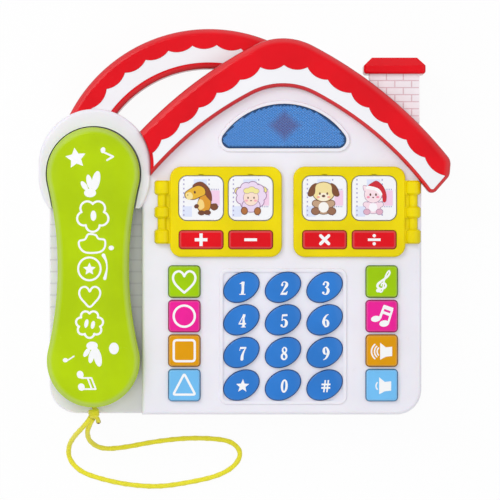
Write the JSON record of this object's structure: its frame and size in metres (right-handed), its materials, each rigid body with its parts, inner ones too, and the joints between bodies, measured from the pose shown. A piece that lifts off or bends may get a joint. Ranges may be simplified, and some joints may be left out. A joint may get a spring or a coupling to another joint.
{
  "type": "toy telephone",
  "caption": "House-shaped toy telephone with a lift-off handset on a lanyard, a carry handle, number keys, picture buttons and song buttons.",
  "frame": {"origin": "centre of the bounding box without the lanyard, on the surface that the rubber feet stand on", "axes": "+X to the right of the house face, +Y towards the roof crest, +Z out of the face"},
  "size_m": [0.247, 0.2787, 0.05],
  "materials": {
    "white_shell": "gloss",
    "white_trim": "gloss",
    "white_brick": "satin",
    "red_gloss": "gloss",
    "yellow_gloss": "gloss",
    "lime_gloss": "gloss",
    "blue_key": "gloss",
    "green_key": "gloss",
    "magenta_key": "gloss",
    "orange_key": "gloss",
    "sky_key": "gloss",
    "picture_tile": "gloss",
    "blue_lens": "gloss",
    "lamp_red": "gloss",
    "board_green": "satin",
    "silicone": "matte",
    "steel": "satin",
    "speaker_black": "matte",
    "foot_rubber": "matte",
    "cell_wrap": "satin",
    "switch_black": "satin",
    "yellow_braid": "matte"
  },
  "bodies": {
    "base": {"back_casing": "white_shell", "batteries": "cell_wrap", "battery_contacts": "steel", "board_screws": "steel", "casing_screws": "steel", "chimney_cap": "red_gloss", "chimney_stack": "white_brick", "circuit_board": "board_green", "contact_mat": "silicone", "front_casing": "white_shell", "handle_back": "red_gloss", "handle_front": "red_gloss", "handle_trim": "white_trim", "left_window_frame": "yellow_gloss", "power_switch": "switch_black", "right_window_frame": "yellow_gloss", "roof": "red_gloss", "roof_trim": "white_trim", "rubber_feet": "foot_rubber", "speaker": "speaker_black", "window_led": "lamp_red", "window_lens": "blue_lens"},
    "handset": {"handset_front": "lime_gloss", "handset_back": "lime_gloss", "handset_screws": "steel", "lanyard_cord": "yellow_braid", "lanyard_knot": "yellow_braid"},
    "key_1": {"key_1": "blue_key"},
    "key_2": {"key_2": "blue_key"},
    "key_3": {"key_3": "blue_key"},
    "key_4": {"key_4": "blue_key"},
    "key_5": {"key_5": "blue_key"},
    "key_6": {"key_6": "blue_key"},
    "key_7": {"key_7": "blue_key"},
    "key_8": {"key_8": "blue_key"},
    "key_9": {"key_9": "blue_key"},
    "key_star": {"key_star": "blue_key"},
    "key_0": {"key_0": "blue_key"},
    "key_hash": {"key_hash": "blue_key"},
    "heart_button": {"heart_button": "green_key"},
    "circle_button": {"circle_button": "magenta_key"},
    "square_button": {"square_button": "orange_key"},
    "triangle_button": {"triangle_button": "sky_key"},
    "clef_button": {"clef_button": "green_key"},
    "notes_button": {"notes_button": "magenta_key"},
    "loud_button": {"loud_button": "orange_key"},
    "soft_button": {"soft_button": "sky_key"},
    "horse_button": {"horse_button": "picture_tile"},
    "sheep_button": {"sheep_button": "picture_tile"},
    "dog_button": {"dog_button": "picture_tile"},
    "cat_button": {"cat_button": "picture_tile"},
    "plus_button": {"plus_button": "red_gloss"},
    "minus_button": {"minus_button": "red_gloss"},
    "times_button": {"times_button": "red_gloss"},
    "divide_button": {"divide_button": "red_gloss"},
    "battery_door": {"battery_door": "white_shell"},
    "switch_knob": {"switch_knob": "switch_black"},
    "hook_plunger": {"hook_plunger": "white_shell"}
  },
  "joints": [
    {"name": "handset_lift", "type": "slide", "parent": "base", "child": "handset", "axis": [0, 0, 1], "range_m": [0, 0.08]},
    {"name": "hook_plunger_rise", "type": "slide", "parent": "base", "child": "hook_plunger", "axis": [0, 0, 1], "range_m": [0, 0.003]},
    {"name": "battery_door_lift", "type": "slide", "parent": "base", "child": "battery_door", "axis": [0, 0, 1], "range_m": [-0.03, 0]},
    {"name": "power_switch_slide", "type": "slide", "parent": "base", "child": "switch_knob", "axis": [1, 0, 0], "range_m": [-0.004, 0.004]},
    {"name": "key_1_press", "type": "slide", "parent": "base", "child": "key_1", "axis": [0, 0, 1], "range_m": [-0.0015, 0], "stiffness_N_per_m": 150, "springref_m": 0.0006},
    {"name": "key_2_press", "type": "slide", "parent": "base", "child": "key_2", "axis": [0, 0, 1], "range_m": [-0.0015, 0], "stiffness_N_per_m": 150, "springref_m": 0.0006},
    {"name": "key_3_press", "type": "slide", "parent": "base", "child": "key_3", "axis": [0, 0, 1], "range_m": [-0.0015, 0], "stiffness_N_per_m": 150, "springref_m": 0.0006},
    {"name": "key_4_press", "type": "slide", "parent": "base", "child": "key_4", "axis": [0, 0, 1], "range_m": [-0.0015, 0], "stiffness_N_per_m": 150, "springref_m": 0.0006},
    {"name": "key_5_press", "type": "slide", "parent": "base", "child": "key_5", "axis": [0, 0, 1], "range_m": [-0.0015, 0], "stiffness_N_per_m": 150, "springref_m": 0.0006},
    {"name": "key_6_press", "type": "slide", "parent": "base", "child": "key_6", "axis": [0, 0, 1], "range_m": [-0.0015, 0], "stiffness_N_per_m": 150, "springref_m": 0.0006},
    {"name": "key_7_press", "type": "slide", "parent": "base", "child": "key_7", "axis": [0, 0, 1], "range_m": [-0.0015, 0], "stiffness_N_per_m": 150, "springref_m": 0.0006},
    {"name": "key_8_press", "type": "slide", "parent": "base", "child": "key_8", "axis": [0, 0, 1], "range_m": [-0.0015, 0], "stiffness_N_per_m": 150, "springref_m": 0.0006},
    {"name": "key_9_press", "type": "slide", "parent": "base", "child": "key_9", "axis": [0, 0, 1], "range_m": [-0.0015, 0], "stiffness_N_per_m": 150, "springref_m": 0.0006},
    {"name": "key_star_press", "type": "slide", "parent": "base", "child": "key_star", "axis": [0, 0, 1], "range_m": [-0.0015, 0], "stiffness_N_per_m": 150, "springref_m": 0.0006},
    {"name": "key_0_press", "type": "slide", "parent": "base", "child": "key_0", "axis": [0, 0, 1], "range_m": [-0.0015, 0], "stiffness_N_per_m": 150, "springref_m": 0.0006},
    {"name": "key_hash_press", "type": "slide", "parent": "base", "child": "key_hash", "axis": [0, 0, 1], "range_m": [-0.0015, 0], "stiffness_N_per_m": 150, "springref_m": 0.0006},
    {"name": "heart_button_press", "type": "slide", "parent": "base", "child": "heart_button", "axis": [0, 0, 1], "range_m": [-0.0015, 0], "stiffness_N_per_m": 150, "springref_m": 0.0006},
    {"name": "circle_button_press", "type": "slide", "parent": "base", "child": "circle_button", "axis": [0, 0, 1], "range_m": [-0.0015, 0], "stiffness_N_per_m": 150, "springref_m": 0.0006},
    {"name": "square_button_press", "type": "slide", "parent": "base", "child": "square_button", "axis": [0, 0, 1], "range_m": [-0.0015, 0], "stiffness_N_per_m": 150, "springref_m": 0.0006},
    {"name": "triangle_button_press", "type": "slide", "parent": "base", "child": "triangle_button", "axis": [0, 0, 1], "range_m": [-0.0015, 0], "stiffness_N_per_m": 150, "springref_m": 0.0006},
    {"name": "clef_button_press", "type": "slide", "parent": "base", "child": "clef_button", "axis": [0, 0, 1], "range_m": [-0.0015, 0], "stiffness_N_per_m": 150, "springref_m": 0.0006},
    {"name": "notes_button_press", "type": "slide", "parent": "base", "child": "notes_button", "axis": [0, 0, 1], "range_m": [-0.0015, 0], "stiffness_N_per_m": 150, "springref_m": 0.0006},
    {"name": "loud_button_press", "type": "slide", "parent": "base", "child": "loud_button", "axis": [0, 0, 1], "range_m": [-0.0015, 0], "stiffness_N_per_m": 150, "springref_m": 0.0006},
    {"name": "soft_button_press", "type": "slide", "parent": "base", "child": "soft_button", "axis": [0, 0, 1], "range_m": [-0.0015, 0], "stiffness_N_per_m": 150, "springref_m": 0.0006},
    {"name": "horse_button_press", "type": "slide", "parent": "base", "child": "horse_button", "axis": [0, 0, 1], "range_m": [-0.0015, 0], "stiffness_N_per_m": 150, "springref_m": 0.0006},
    {"name": "sheep_button_press", "type": "slide", "parent": "base", "child": "sheep_button", "axis": [0, 0, 1], "range_m": [-0.0015, 0], "stiffness_N_per_m": 150, "springref_m": 0.0006},
    {"name": "dog_button_press", "type": "slide", "parent": "base", "child": "dog_button", "axis": [0, 0, 1], "range_m": [-0.0015, 0], "stiffness_N_per_m": 150, "springref_m": 0.0006},
    {"name": "cat_button_press", "type": "slide", "parent": "base", "child": "cat_button", "axis": [0, 0, 1], "range_m": [-0.0015, 0], "stiffness_N_per_m": 150, "springref_m": 0.0006},
    {"name": "plus_button_press", "type": "slide", "parent": "base", "child": "plus_button", "axis": [0, 0, 1], "range_m": [-0.0015, 0], "stiffness_N_per_m": 150, "springref_m": 0.0006},
    {"name": "minus_button_press", "type": "slide", "parent": "base", "child": "minus_button", "axis": [0, 0, 1], "range_m": [-0.0015, 0], "stiffness_N_per_m": 150, "springref_m": 0.0006},
    {"name": "times_button_press", "type": "slide", "parent": "base", "child": "times_button", "axis": [0, 0, 1], "range_m": [-0.0015, 0], "stiffness_N_per_m": 150, "springref_m": 0.0006},
    {"name": "divide_button_press", "type": "slide", "parent": "base", "child": "divide_button", "axis": [0, 0, 1], "range_m": [-0.0015, 0], "stiffness_N_per_m": 150, "springref_m": 0.0006}
  ],
  "couplings": [
    {"joint": "hook_plunger_rise", "follows": "handset_lift", "ratio": 0.0375}
  ]
}
